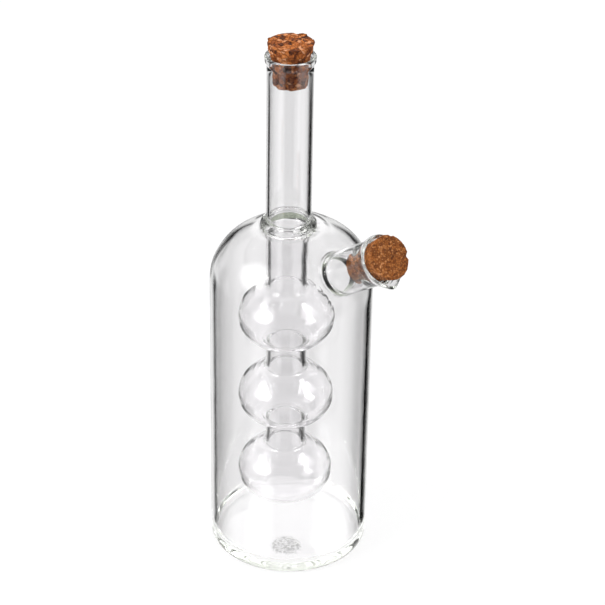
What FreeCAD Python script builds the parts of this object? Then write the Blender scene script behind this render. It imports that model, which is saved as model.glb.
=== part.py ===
import FreeCAD, Part
import Sketcher
import math
import os

from FreeCAD import Vector

# Blown double bottle for oil and vinegar. A flask of three bubbles hangs from the neck inside
# a domed drum, a side spout empties the space round it, and each mouth has a tapered cork.
# Millimetres, +Z up, origin at the middle of the base, front towards -Y.

# Driving sizes: alias, value, what it is.
DRIVING = [
    ("body_radius", 37.5, "outside of the drum"),
    ("shoulder_height", 141.3, "top of the straight wall, where the dome springs"),
    ("dome_rise", 29.1, "height of the dome above the shoulder"),
    ("heel_radius", 3.0, "outer corner between wall and base"),
    ("body_wall", 2.4, "glass of the drum wall"),
    ("crown_wall", 2.2, "glass at the top of the dome"),
    ("base_wall", 3.6, "glass of the base"),
    ("base_corner", 5.5, "inner corner between wall and base"),
    ("spine_shift", -1.7, "how far neck and flask stand off the drum's axis, along X"),
    ("neck_radius", 10.35, "outside of the neck"),
    ("neck_wall", 1.5, "glass of the neck"),
    ("neck_length", 81.6, "from the crown of the dome to the neck's rim"),
    ("neck_flare", 0.66, "how much wider the neck's mouth is than its bore"),
    ("neck_lip_out", 1.05, "how far the neck's lip stands out"),
    ("lip_depth", 4.2, "height of the flare under the neck's lip"),
    ("lip_round", 0.7, "fire-polished edges of both lips"),
    ("ring_out", 2.4, "how far the weld ring stands out round the foot of the neck"),
    ("ring_half", 3.3, "half the height of the weld ring"),
    ("ring_sink", 1.2, "how far the ring's middle lies below the crown of the dome"),
    ("ring_blend", 0.8, "fillets above and below the weld ring"),
    ("tube_radius", 9.6, "outside of the flask's tube and of its waists"),
    ("tube_wall", 1.5, "glass of the flask's tube"),
    ("tube_length", 31.5, "from the weld ring's middle to the top bubble"),
    ("tube_blend", 1.5, "fillet where the tube joins the inside of the dome"),
    ("bubble_count", 3, "bubbles in the flask"),
    ("bubble_radius", 22.0, "outside of a bubble"),
    ("bubble_fullness", 0.83, "rounding of a bubble's side, against half its height"),
    ("bubble_wall", 1.4, "glass of a bubble"),
    ("bubble_blend", 3.0, "fillet between a bubble and a waist"),
    ("waist_length", 10.8, "from the end of one bubble to the start of the next"),
    ("flask_clear", 18.3, "from the base's inner face to the bottom of the flask"),
    ("spout_sink", 6.7, "how far below the shoulder the spout's axis meets the drum's axis"),
    ("spout_turn", -46.6, "degrees from +X to the spout, seen from above"),
    ("spout_slope", 34.9, "degrees that the spout rises"),
    ("spout_length", 33.1, "how far the spout's rim stands out past the drum's radius"),
    ("spout_depth", 9.5, "how far the spout's tube starts inside the drum's radius"),
    ("spout_radius", 10.2, "outside of the spout"),
    ("spout_wall", 1.6, "glass of the spout"),
    ("spout_widening", 1.08, "how much wider the spout's mouth is than its bore"),
    ("spout_blend", 2.6, "fillet between spout and dome"),
    ("throat_blend", 1.4, "fillet inside, where the spout's bore leaves the dome"),
    ("spout_flare", 5.0, "length over which the spout widens to its lip"),
    ("spout_lip_out", 1.2, "how far the spout's lip stands out"),
    ("nose_reach", 2.4, "how far the pinched pouring nose stands out of the spout's lip"),
    ("nose_radius", 3.0, "outer rounding of the pouring nose"),
    ("cork_gap", 0.15, "between a cork and the mouth that it is pushed into"),
    ("cork_edge", 0.5, "worn edges of a cork"),
    ("neck_cork_long", 20.7, "length of the neck cork"),
    ("neck_cork_proud", 6.6, "how far the neck cork stands out of its rim"),
    ("neck_cork_taper", 0.0966, "radius that the neck cork loses along its length, per mm"),
    ("spout_cork_long", 22.6, "length of the spout cork"),
    ("spout_cork_proud", 5.8, "how far the spout cork stands out of its rim"),
    ("spout_cork_taper", 0.1157, "radius that the spout cork loses along its length, per mm"),
]

# Sizes that follow from them, as formulas of the same sheet.
FOLLOWING = [
    ("foot_radius", "body_radius - heel_radius"),
    ("crown_height", "shoulder_height + dome_rise"),
    ("chamber_radius", "body_radius - body_wall"),
    ("chamber_rise", "dome_rise - crown_wall"),
    ("chamber_flat", "chamber_radius - base_corner"),
    ("chamber_corner", "base_wall + base_corner"),
    ("chamber_crown", "shoulder_height + chamber_rise"),
    ("ring_level", "crown_height - ring_sink"),
    ("ring_radius", "neck_radius + ring_out"),
    ("ring_low", "ring_level - ring_half"),
    ("ring_high", "ring_level + ring_half"),
    ("ring_bulge", "(ring_out ^ 2 + ring_half ^ 2) / (2 * ring_out)"),
    ("rim_height", "crown_height + neck_length"),
    ("neck_lip", "neck_radius + neck_lip_out"),
    ("lip_low", "rim_height - lip_depth"),
    ("lip_flare", "(lip_depth ^ 2 + neck_lip_out ^ 2) / (2 * neck_lip_out)"),
    ("neck_bore", "neck_radius - neck_wall"),
    ("neck_mouth", "neck_bore + neck_flare"),
    ("neck_seat", "rim_height - neck_flare / neck_cork_taper"),
    ("neck_cork_end", "rim_height + neck_cork_proud"),
    ("neck_cork_base", "neck_cork_end - neck_cork_long"),
    ("neck_cork_top", "neck_mouth - cork_gap + neck_cork_taper * neck_cork_proud"),
    ("neck_cork_low", "neck_cork_top - neck_cork_taper * neck_cork_long"),
    ("tube_bore", "tube_radius - tube_wall"),
    ("flask_top", "ring_level - tube_length"),
    ("flask_room", "flask_top - base_wall - flask_clear"),
    ("bubble_half", "(flask_room - (bubble_count - 1) * waist_length) / (2 * bubble_count)"),
    ("bubble_side", "bubble_fullness * bubble_half"),
    ("bubble_level", "flask_top - bubble_half"),
    ("bubble_low", "bubble_level - bubble_half"),
    ("flask_length", "(bubble_count - 1) * (2 * bubble_half + waist_length)"),
    ("flask_end", "bubble_level - flask_length"),
    ("hollow_radius", "bubble_radius - bubble_wall"),
    ("hollow_half", "bubble_half - bubble_wall"),
    ("hollow_side", "bubble_side - bubble_wall"),
    ("hollow_top", "bubble_level + hollow_half"),
    ("hollow_low", "bubble_level - hollow_half"),
    ("hollow_blend", "bubble_blend + bubble_wall"),
    ("spout_root", "shoulder_height - spout_sink"),
    ("spout_tilt", "90 - spout_slope"),
    ("spout_foot", "body_radius - spout_depth"),
    ("spout_reach", "body_radius + spout_length"),
    ("spout_bore", "spout_radius - spout_wall"),
    ("spout_mouth", "spout_bore + spout_widening"),
    ("spout_seat", "spout_reach - spout_widening / spout_cork_taper"),
    ("spout_lip", "spout_radius + spout_lip_out"),
    ("spout_cork_end", "spout_reach + spout_cork_proud"),
    ("spout_cork_base", "spout_cork_end - spout_cork_long"),
    ("spout_cork_top", "spout_mouth - cork_gap + spout_cork_taper * spout_cork_proud"),
    ("spout_cork_low", "spout_cork_top - spout_cork_taper * spout_cork_long"),
    ("flare_start", "spout_reach - spout_flare"),
    ("flare_bore", "spout_mouth - spout_cork_taper * spout_flare"),
    ("nose_middle", "spout_lip + nose_reach - nose_radius"),
    ("nose_inside", "nose_radius - (spout_lip - spout_mouth)"),
    ("nose_cosine", "(spout_lip - nose_radius) / nose_middle"),
    ("nose_sine", "sqrt(1 - nose_cosine ^ 2)"),
]

# Two points closer than this count as one when edges are picked.
NEAR = 0.01

doc = FreeCAD.newDocument("oil_and_vinegar_bottle")
sheet = doc.addObject("Spreadsheet::Sheet", "sizes")


def fill_sheet():
    for row, (alias, value, note) in enumerate(DRIVING, 1):
        sheet.set(f"A{row}", note)
        sheet.set(f"B{row}", str(value))
        sheet.setAlias(f"B{row}", alias)
    for row, (alias, formula) in enumerate(FOLLOWING, len(DRIVING) + 1):
        sheet.set(f"B{row}", "=" + formula)
        sheet.setAlias(f"B{row}", alias)
    doc.recompute()


def cell(alias):
    return f"<<sizes>>.{alias}"


def size(alias):
    # The value in a cell, to draw geometry near its place before its constraints hold it.
    return 0.0 if alias is None else float(sheet.get(alias))


def plane_of(body, role):
    return next(plane for plane in body.Origin.OriginFeatures if plane.Role == role)


def new_sketch(body, name, role):
    sketch = body.newObject("Sketcher::SketchObject", name)
    sketch.AttachmentSupport = [(plane_of(body, role), "")]
    sketch.MapMode = "FlatFace"
    return sketch


def bind(sketch, constraint, formula):
    index = sketch.addConstraint(constraint)
    sketch.setExpression(f"Constraints[{index}]", formula)


class Outline:
    # A closed profile in a body's XZ plane. Each corner is held by two cells, across and up,
    # where None stands for the axis.
    def __init__(self, body, name, across, up):
        self.sketch = new_sketch(body, name, "XZ_Plane")
        self.corner = (across, up)
        self.begin = None
        self.tail = None

    def point(self, across, up):
        return Vector(size(across), size(up), 0)

    def hold(self, edge, end, across, up):
        if across is None:
            self.sketch.addConstraint(Sketcher.Constraint("PointOnObject", edge, end, -2))
        else:
            reach = Sketcher.Constraint("DistanceX", -1, 1, edge, end, size(across))
            bind(self.sketch, reach, cell(across))
        if up is None:
            self.sketch.addConstraint(Sketcher.Constraint("PointOnObject", edge, end, -1))
        else:
            level = Sketcher.Constraint("DistanceY", -1, 1, edge, end, size(up))
            bind(self.sketch, level, cell(up))

    def follow(self, edge, first, last, across, up):
        # Joins a new edge to the one before it and holds its far corner.
        if self.tail is None:
            self.begin = (edge, first)
            self.hold(edge, first, *self.corner)
        else:
            self.sketch.addConstraint(Sketcher.Constraint("Coincident", *self.tail, edge, first))
        self.hold(edge, last, across, up)
        self.tail = (edge, last)
        self.corner = (across, up)

    def line(self, across, up):
        segment = Part.LineSegment(self.point(*self.corner), self.point(across, up))
        self.follow(self.sketch.addGeometry(segment), 1, 2, across, up)

    def arc(self, across, up, radius, side):
        # Side 1 bulges to the right of the way it is drawn, side -1 to the left.
        here = self.point(*self.corner)
        there = self.point(across, up)
        chord = there - here
        outward = Vector(chord.y, -chord.x, 0).normalize() * side
        depth = size(radius) - math.sqrt(size(radius) ** 2 - (chord.Length / 2) ** 2)
        edge = self.sketch.addGeometry(Part.Arc(here, here + chord / 2 + outward * depth, there))
        forward = self.sketch.getPoint(edge, 1).distanceToPoint(here) < 1e-6
        first, last = (1, 2) if forward else (2, 1)
        self.follow(edge, first, last, across, up)
        bind(self.sketch, Sketcher.Constraint("Radius", edge, size(radius)), cell(radius))

    def dome(self, centre_up, radius, rise, up):
        # A quarter of a flat ellipse, from the side up to the axis.
        ellipse = Part.Ellipse(self.point(None, centre_up), size(radius), size(rise))
        edge = self.sketch.addGeometry(Part.ArcOfEllipse(ellipse, 0, math.pi / 2))
        self.follow(edge, 1, 2, None, up)
        long_axis = self.sketch.GeometryCount
        self.sketch.exposeInternalGeometry(edge)
        self.sketch.addConstraint(Sketcher.Constraint("PointOnObject", edge, 3, -2))
        self.sketch.addConstraint(Sketcher.Constraint("Horizontal", long_axis))
        level = Sketcher.Constraint("DistanceY", -1, 1, edge, 3, size(centre_up))
        bind(self.sketch, level, cell(centre_up))

    def bubble(self, centre_up, radius, half, side, up):
        # Half an oval of three tangent arcs: a flat one at the bottom, the side, a flat one on top.
        level = size(centre_up)
        inward = size(radius) - size(side)
        flat = (inward ** 2 + size(half) ** 2 - size(side) ** 2) / (2 * (size(half) - size(side)))
        turn = math.atan2(flat - size(half), inward)
        axis = Vector(0, 0, 1)
        low = Part.Circle(Vector(0, level + flat - size(half), 0), axis, flat)
        middle = Part.Circle(Vector(inward, level, 0), axis, size(side))
        high = Part.Circle(Vector(0, level - flat + size(half), 0), axis, flat)
        first = self.sketch.addGeometry(Part.ArcOfCircle(low, -math.pi / 2, -turn))
        second = self.sketch.addGeometry(Part.ArcOfCircle(middle, -turn, turn))
        third = self.sketch.addGeometry(Part.ArcOfCircle(high, turn, math.pi / 2))
        self.begin = (first, 1)
        self.hold(first, 1, *self.corner)
        self.tail = (third, 2)
        self.corner = (None, up)
        self.hold(third, 2, None, up)
        self.sketch.addConstraint(Sketcher.Constraint("Tangent", first, 2, second, 1))
        self.sketch.addConstraint(Sketcher.Constraint("Tangent", second, 2, third, 1))
        self.sketch.addConstraint(Sketcher.Constraint("PointOnObject", first, 3, -2))
        self.sketch.addConstraint(Sketcher.Constraint("PointOnObject", third, 3, -2))
        self.sketch.addConstraint(Sketcher.Constraint("Equal", first, third))
        bind(self.sketch, Sketcher.Constraint("Radius", second, size(side)), cell(side))
        reach = Sketcher.Constraint("DistanceX", -1, 1, second, 3, inward)
        bind(self.sketch, reach, f"{cell(radius)} - {cell(side)}")

    def close(self):
        first = self.sketch.getPoint(*self.begin)
        edge = self.sketch.addGeometry(Part.LineSegment(self.point(*self.corner), first))
        self.sketch.addConstraint(Sketcher.Constraint("Coincident", *self.tail, edge, 1))
        self.sketch.addConstraint(Sketcher.Constraint("Coincident", edge, 2, *self.begin))
        return self.sketch


def new_body(name):
    body = doc.addObject("PartDesign::Body", name)
    body.Label = name
    return body


def revolve(body, outline, name):
    sketch = outline.close()
    feature = body.newObject("PartDesign::Revolution", name)
    feature.Profile = sketch
    feature.ReferenceAxis = (sketch, ["V_Axis"])
    feature.Angle = 360
    doc.recompute()
    return feature


def combine(body, kind, tools, name):
    feature = body.newObject("PartDesign::Boolean", name)
    feature.Type = kind
    feature.setObjects(tools)
    doc.recompute()
    return feature


def round_off(body, radius, name, wanted):
    # Fillets those edges of the body's last feature that wanted() picks.
    last = body.Tip
    picked = [f"Edge{i}" for i, edge in enumerate(last.Shape.Edges, 1) if wanted(edge)]
    feature = body.newObject("PartDesign::Fillet", name)
    feature.Base = (last, picked)
    feature.setExpression("Radius", cell(radius))
    doc.recompute()
    return feature


def all_round(edge, spot):
    # True if the measure spot() holds at both ends and in the middle of a curved edge.
    if edge.Degenerated or isinstance(edge.Curve, Part.Line):
        return False
    first, last = edge.ParameterRange
    places = [edge.valueAt(at) for at in (first, (first + last) / 2, last)]
    return all(spot(place) for place in places)


def at_level(edge, level):
    # An edge that lies in one level of its body's own frame.
    first, last = edge.ParameterRange
    places = [edge.valueAt(at) for at in (first, (first + last) / 2, last)]
    return all(abs(place.z - size(level)) < NEAR for place in places)


def is_ring(edge, radius, low, high):
    # A circle of this radius about a body's own upright axis, between two levels.
    def spot(place):
        away = math.hypot(place.x, place.y)
        return abs(away - size(radius)) < NEAR and size(low) < place.z < size(high)

    return all_round(edge, spot)


def stand_on_spine(body):
    body.setExpression("Placement.Base.x", cell("spine_shift"))


def lean_along_spout(body):
    root = f"vector(0; 0; {cell('spout_root')})"
    turn = f"rotation({cell('spout_turn')}; {cell('spout_tilt')}; 0)"
    body.setExpression("Placement", f"placement({root}; {turn})")


def spout_place():
    # The spout's own frame: its axis is local Z, and local X points down and out.
    turn = FreeCAD.Rotation(size("spout_turn"), size("spout_tilt"), 0)
    return FreeCAD.Placement(Vector(0, 0, size("spout_root")), turn)


def along_spout(point):
    # How far a point lies along the spout's axis, and how far from it.
    local = spout_place().inverse().multVec(point)
    return local.z, math.hypot(local.x, local.y)


def make_neck():
    # The neck outside: weld ring, straight tube, flared lip.
    body = new_body("neck_outside")
    outline = Outline(body, "neck_outline", None, "ring_low")
    outline.line("neck_radius", "ring_low")
    outline.arc("neck_radius", "ring_high", "ring_bulge", 1)
    outline.line("neck_radius", "lip_low")
    outline.arc("neck_lip", "rim_height", "lip_flare", -1)
    outline.line(None, "rim_height")
    revolve(body, outline, "neck_turned")
    round_off(body, "ring_blend", "ring_eased",
              lambda edge: is_ring(edge, "neck_radius", "ring_level", "lip_low"))
    round_off(body, "lip_round", "neck_lip_polished", lambda edge: at_level(edge, "rim_height"))
    stand_on_spine(body)
    return body


def rim_sketch(body, name, mouth, nose):
    # The spout's rim: a circle drawn out at its low side into a rounded nose.
    sketch = new_sketch(body, name, "XY_Plane")
    sketch.setExpression("AttachmentOffset.Base.z", cell("spout_reach"))
    middle = size("nose_middle")
    spread = math.acos(size("nose_cosine"))
    up = Vector(0, 0, 1)
    wide = Part.ArcOfCircle(Part.Circle(Vector(0, 0, 0), up, size(mouth)), spread, 2 * math.pi - spread)
    tip = Part.ArcOfCircle(Part.Circle(Vector(middle, 0, 0), up, size(nose)), -spread, spread)
    curve = sketch.addGeometry(wide)
    low = sketch.addGeometry(Part.LineSegment(wide.EndPoint, tip.StartPoint))
    point = sketch.addGeometry(tip)
    high = sketch.addGeometry(Part.LineSegment(tip.EndPoint, wide.StartPoint))
    joints = [(curve, 2, low, 1), (low, 2, point, 1), (point, 2, high, 1), (high, 2, curve, 1)]
    for joint in joints:
        sketch.addConstraint(Sketcher.Constraint("Tangent", *joint))
    sketch.addConstraint(Sketcher.Constraint("Coincident", curve, 3, -1, 1))
    sketch.addConstraint(Sketcher.Constraint("PointOnObject", point, 3, -1))
    bind(sketch, Sketcher.Constraint("Radius", curve, size(mouth)), cell(mouth))
    bind(sketch, Sketcher.Constraint("Radius", point, size(nose)), cell(nose))
    reach = Sketcher.Constraint("DistanceX", -1, 1, point, 3, middle)
    bind(sketch, reach, cell("nose_middle"))
    return sketch


def flare_sketch(body, name, radius, nose):
    # The round section where the spout starts to widen, in four arcs that lead to the
    # four edges of the rim.
    sketch = new_sketch(body, name, "XY_Plane")
    sketch.setExpression("AttachmentOffset.Base.z", cell("flare_start"))
    circle = Part.Circle(Vector(0, 0, 0), Vector(0, 0, 1), size(radius))
    spread = math.acos(size("nose_cosine"))
    half_tip = size(nose) * size("nose_sine")
    tip = math.asin(half_tip / size(radius))
    turns = [spread, 2 * math.pi - spread, 2 * math.pi - tip, 2 * math.pi + tip, 2 * math.pi + spread]
    arcs = [sketch.addGeometry(Part.ArcOfCircle(circle, *pair)) for pair in zip(turns, turns[1:])]
    for before, after in zip(arcs, arcs[1:] + arcs[:1]):
        sketch.addConstraint(Sketcher.Constraint("Coincident", before, 2, after, 1))
    for arc in arcs[:-1]:
        sketch.addConstraint(Sketcher.Constraint("Coincident", arc, 3, -1, 1))
    sketch.addConstraint(Sketcher.Constraint("PointOnObject", arcs[-1], 3, -1))
    for arc in (arcs[0], arcs[2]):
        sketch.addConstraint(Sketcher.Constraint("Symmetric", arc, 1, arc, 2, -1))
    bind(sketch, Sketcher.Constraint("Radius", arcs[0], size(radius)), cell(radius))
    side = Sketcher.Constraint("DistanceX", -1, 1, arcs[0], 1, size(radius) * size("nose_cosine"))
    bind(sketch, side, f"{cell(radius)} * {cell('nose_cosine')}")
    rise = Sketcher.Constraint("DistanceY", -1, 1, arcs[2], 2, half_tip)
    bind(sketch, rise, f"{cell(nose)} * {cell('nose_sine')}")
    return sketch


def widen(body, name, radius, mouth, nose):
    # Draws the round tube out to the rim with its nose.
    start = flare_sketch(body, name + "_start", radius, nose)
    rim = rim_sketch(body, name + "_rim", mouth, nose)
    doc.recompute()
    feature = body.newObject("PartDesign::AdditiveLoft", name)
    feature.Profile = start
    feature.Sections = [rim]
    doc.recompute()
    return feature


def make_spout():
    body = new_body("spout_outside")
    outline = Outline(body, "spout_outline", None, "spout_foot")
    outline.line("spout_radius", "spout_foot")
    outline.line("spout_radius", "flare_start")
    outline.line(None, "flare_start")
    revolve(body, outline, "spout_tube")
    widen(body, "spout_drawn", "spout_radius", "spout_lip", "nose_radius")
    round_off(body, "lip_round", "spout_lip_polished", lambda edge: at_level(edge, "spout_reach"))
    lean_along_spout(body)
    return body


def make_throat():
    # The spout's bore: a straight tube, then the cork's seat, then the mouth.
    body = new_body("spout_bore_space")
    outline = Outline(body, "bore_outline", None, "spout_foot")
    outline.line("spout_bore", "spout_foot")
    outline.line("spout_bore", "spout_seat")
    outline.line("flare_bore", "flare_start")
    outline.line(None, "flare_start")
    revolve(body, outline, "spout_bored")
    widen(body, "mouth_drawn", "flare_bore", "spout_mouth", "nose_inside")
    lean_along_spout(body)
    return body


def make_flask():
    # The flask outside: a tube through three bubbles, blended where they meet.
    body = new_body("flask_outside")
    tube = Outline(body, "tube_outline", None, "flask_end")
    tube.line("tube_radius", "flask_end")
    tube.line("tube_radius", "ring_level")
    tube.line(None, "ring_level")
    revolve(body, tube, "flask_tube")
    blow_bubbles(body, "bubble_low", "bubble_radius", "bubble_half", "bubble_side", "flask_top")
    round_off(body, "bubble_blend", "waists_eased",
              lambda edge: is_ring(edge, "tube_radius", "flask_end", "flask_top"))
    stand_on_spine(body)
    return body


def make_hollow():
    # The inside of flask and neck as one space, up through the cork's seat.
    body = new_body("flask_space")
    bore = Outline(body, "neck_bore_outline", None, "flask_end")
    bore.line("tube_bore", "flask_end")
    bore.line("tube_bore", "ring_low")
    bore.line("neck_bore", "ring_high")
    bore.line("neck_bore", "neck_seat")
    bore.line("neck_mouth", "rim_height")
    bore.line(None, "rim_height")
    revolve(body, bore, "neck_bored")
    blow_bubbles(body, "hollow_low", "hollow_radius", "hollow_half", "hollow_side", "hollow_top")
    round_off(body, "hollow_blend", "hollows_eased",
              lambda edge: is_ring(edge, "tube_bore", "flask_end", "flask_top"))
    stand_on_spine(body)
    return body


def blow_bubbles(body, low, radius, half, side, top):
    profile = Outline(body, body.Name + "_bubble", None, low)
    profile.bubble("bubble_level", radius, half, side, top)
    bubble = revolve(body, profile, body.Name + "_top_bubble")
    row = body.newObject("PartDesign::LinearPattern", body.Name + "_bubbles")
    row.Originals = [bubble]
    row.Direction = (profile.sketch, ["V_Axis"])
    row.Reversed = True
    row.setExpression("Length", cell("flask_length"))
    row.setExpression("Occurrences", cell("bubble_count"))
    body.Tip = row
    doc.recompute()


def make_drum(body, name, floor, flat, corner, corner_up, radius, rise, crown):
    # A round drum with a corner at its foot and a dome on top.
    outline = Outline(body, name + "_outline", None, floor)
    outline.line(flat, floor)
    outline.arc(radius, corner_up, corner, 1)
    outline.line(radius, "shoulder_height")
    outline.dome("shoulder_height", radius, rise, crown)
    revolve(body, outline, name)


def is_spout_root(edge, radius):
    # The curve in which the spout, or its bore, leaves the dome.
    def spot(place):
        along, away = along_spout(place)
        straight = size("spout_foot") + NEAR < along < size("spout_seat") - NEAR
        return straight and abs(away - size(radius)) < NEAR

    return all_round(edge, spot)


def is_on_spine(edge, radius, low, high):
    # A curve at this radius about the neck's axis, between two levels.
    def spot(place):
        away = math.hypot(place.x - size("spine_shift"), place.y)
        return abs(away - size(radius)) < NEAR and size(low) < place.z < size(high)

    return all_round(edge, spot)


def make_chamber(flask, throat):
    # The space between drum and flask, with the spout's bore.
    body = new_body("chamber_space")
    make_drum(body, "chamber_turned", "base_wall", "chamber_flat", "base_corner",
              "chamber_corner", "chamber_radius", "chamber_rise", "chamber_crown")
    combine(body, "Fuse", [throat], "bore_joined")
    round_off(body, "throat_blend", "throat_eased", lambda edge: is_spout_root(edge, "spout_bore"))
    combine(body, "Cut", [flask], "flask_left_out")
    round_off(body, "tube_blend", "tube_eased",
              lambda edge: is_on_spine(edge, "tube_radius", "shoulder_height", "ring_level"))
    return body


def is_ring_weld(edge):
    # The curve in which the weld ring meets the dome.
    def spot(place):
        away = math.hypot(place.x - size("spine_shift"), place.y)
        across = math.hypot(place.x, place.y) / size("body_radius")
        up = (place.z - size("shoulder_height")) / size("dome_rise")
        on_dome = abs(math.hypot(across, up) - 1) * size("dome_rise") < NEAR
        return on_dome and size("neck_radius") < away < size("ring_radius") + NEAR

    return all_round(edge, spot)


def make_glass():
    # The one fused piece of glass: outside first, then both spaces out of it.
    neck = make_neck()
    spout = make_spout()
    chamber = make_chamber(make_flask(), make_throat())
    hollow = make_hollow()
    body = new_body("glass_vessel")
    make_drum(body, "drum_turned", None, "foot_radius", "heel_radius", "heel_radius",
              "body_radius", "dome_rise", "crown_height")
    combine(body, "Fuse", [neck, spout], "neck_and_spout_welded")
    round_off(body, "ring_blend", "ring_welded", is_ring_weld)
    round_off(body, "spout_blend", "spout_eased", lambda edge: is_spout_root(edge, "spout_radius"))
    combine(body, "Cut", [chamber], "chamber_opened")
    combine(body, "Cut", [hollow], "flask_opened")
    round_off(body, "lip_round", "mouth_polished",
              lambda edge: is_on_spine(edge, "neck_mouth", "neck_seat", "neck_cork_end"))
    return body


def make_cork(name, low, base, top, end):
    # A tapered cork with worn edges.
    body = new_body(name)
    outline = Outline(body, name + "_outline", None, base)
    outline.line(low, base)
    outline.line(top, end)
    outline.line(None, end)
    revolve(body, outline, name + "_turned")
    round_off(body, "cork_edge", name + "_worn", lambda edge: all_round(edge, lambda place: True))
    return body


def make_corks():
    neck_cork = make_cork(
        "neck_cork", "neck_cork_low", "neck_cork_base", "neck_cork_top", "neck_cork_end"
    )
    stand_on_spine(neck_cork)
    spout_cork = make_cork(
        "spout_cork", "spout_cork_low", "spout_cork_base", "spout_cork_top", "spout_cork_end"
    )
    lean_along_spout(spout_cork)
    return [neck_cork, spout_cork]


def check_model(pieces):
    # Stops before anything is written if a feature failed or a piece is not one sound solid.
    for item in doc.Objects:
        if "Invalid" in item.State or "Error" in item.State:
            raise RuntimeError(f"{item.Label} did not build: {item.State}")
    for piece in pieces:
        shape = piece.Shape
        if shape.isNull() or not shape.isValid() or len(shape.Solids) != 1:
            raise RuntimeError(f"{piece.Label} is not one valid solid")


fill_sheet()
pieces = [make_glass()] + make_corks()
doc.recompute()
check_model(pieces)

os.makedirs("parts", exist_ok=True)
for piece in pieces:
    piece.Shape.exportStep(f"parts/{piece.Label}.step")
    print(piece.Label, round(piece.Shape.Volume / 1000, 2), "cm3")
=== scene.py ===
from math import atan2, cos, hypot, pi, radians, sin, sqrt, tau
import bpy
from mathutils import Euler, Matrix, Vector


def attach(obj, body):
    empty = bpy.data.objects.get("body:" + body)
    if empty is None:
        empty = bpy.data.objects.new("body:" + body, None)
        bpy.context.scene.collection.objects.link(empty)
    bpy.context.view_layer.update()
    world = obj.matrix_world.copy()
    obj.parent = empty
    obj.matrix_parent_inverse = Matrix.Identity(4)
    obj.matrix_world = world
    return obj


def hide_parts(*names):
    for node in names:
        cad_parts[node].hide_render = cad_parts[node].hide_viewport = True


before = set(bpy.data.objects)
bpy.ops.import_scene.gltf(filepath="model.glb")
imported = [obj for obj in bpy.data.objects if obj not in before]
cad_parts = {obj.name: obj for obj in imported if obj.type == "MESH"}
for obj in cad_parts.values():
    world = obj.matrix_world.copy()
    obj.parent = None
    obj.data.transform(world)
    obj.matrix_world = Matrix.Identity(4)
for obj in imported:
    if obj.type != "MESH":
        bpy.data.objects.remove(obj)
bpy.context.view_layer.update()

scene = bpy.context.scene
mm = 0.001
fitPasses = 24                                             # more passes move nothing that can be seen


# Small helpers for modelling

def deselectAll():
    if bpy.context.mode != "OBJECT":
        bpy.ops.object.mode_set(mode="OBJECT")
    bpy.ops.object.select_all(action="DESELECT")


def openMesh(piece, mode="VERT"):
    deselectAll()
    piece.select_set(True)
    bpy.context.view_layer.objects.active = piece
    bpy.ops.object.mode_set(mode="EDIT")
    bpy.ops.mesh.select_mode(type=mode)
    bpy.ops.mesh.select_all(action="DESELECT")


def closeMesh():
    bpy.ops.object.mode_set(mode="OBJECT")


def heldRings(rings):
    # Subdivision pulls a cage inwards, so each ring is pushed out until the smooth
    # surface passes through the place that was asked for
    wanted = [Vector(ring) for ring in rings]
    cage = [ring.copy() for ring in wanted]
    for _ in range(fitPasses):
        for i in range(1, len(cage) - 1):
            reached = (cage[i - 1] + 4 * cage[i] + cage[i + 1]) / 6
            cage[i] += wanted[i] - reached
    return cage


def heldRadius(radius, corners):
    return radius * 3 / (2 + cos(tau / corners))


def growRings(name, rings, corners, turn, capped):
    # A circle drawn up ring by ring; a ring is (radius, height, shift along X) in mm
    cage = heldRings(rings)
    deselectAll()
    radius, height, shift = cage[0]
    bpy.ops.mesh.primitive_circle_add(
        vertices=corners, radius=heldRadius(radius, corners) * mm,
        fill_type="NGON" if capped else "NOTHING",
        location=(shift * mm, 0, height * mm), rotation=(0, 0, turn))
    piece = bpy.context.object
    piece.name = name
    bpy.ops.object.transform_apply(location=True, rotation=True, scale=True)
    openMesh(piece)
    bpy.ops.mesh.select_all(action="SELECT")
    for before, ring in zip(cage, cage[1:]):
        step = ((ring[2] - before[2]) * mm, 0, (ring[1] - before[1]) * mm)
        bpy.ops.mesh.extrude_region_move(TRANSFORM_OT_translate={"value": step})
        grow = ring[0] / before[0]
        centre = (ring[2] * mm, 0, ring[1] * mm)
        bpy.ops.transform.resize(value=(grow, grow, 1), center_override=centre)
    closeMesh()
    return piece


def turnOutwards(piece):
    openMesh(piece)
    bpy.ops.mesh.select_all(action="SELECT")
    bpy.ops.mesh.normals_make_consistent(inside=False)
    bpy.ops.mesh.select_all(action="DESELECT")
    bpy.ops.mesh.select_non_manifold()
    closeMesh()
    print(piece.name, "open corners left:", sum(v.select for v in piece.data.vertices))


def smoothCage(piece, levels):
    smooth = piece.modifiers.new("smooth", "SUBSURF")
    smooth.levels = levels
    smooth.render_levels = levels
    bpy.ops.object.modifier_apply(modifier="smooth")


def arcRings(centre, radius, start, end, steps, shift=0.0):
    # Rings round an arc of the outline, from one angle to another in degrees
    turns = [radians(start + (end - start) * i / steps) for i in range(steps + 1)]
    return [(centre[0] + radius * cos(a), centre[1] + radius * sin(a), shift) for a in turns]


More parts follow.
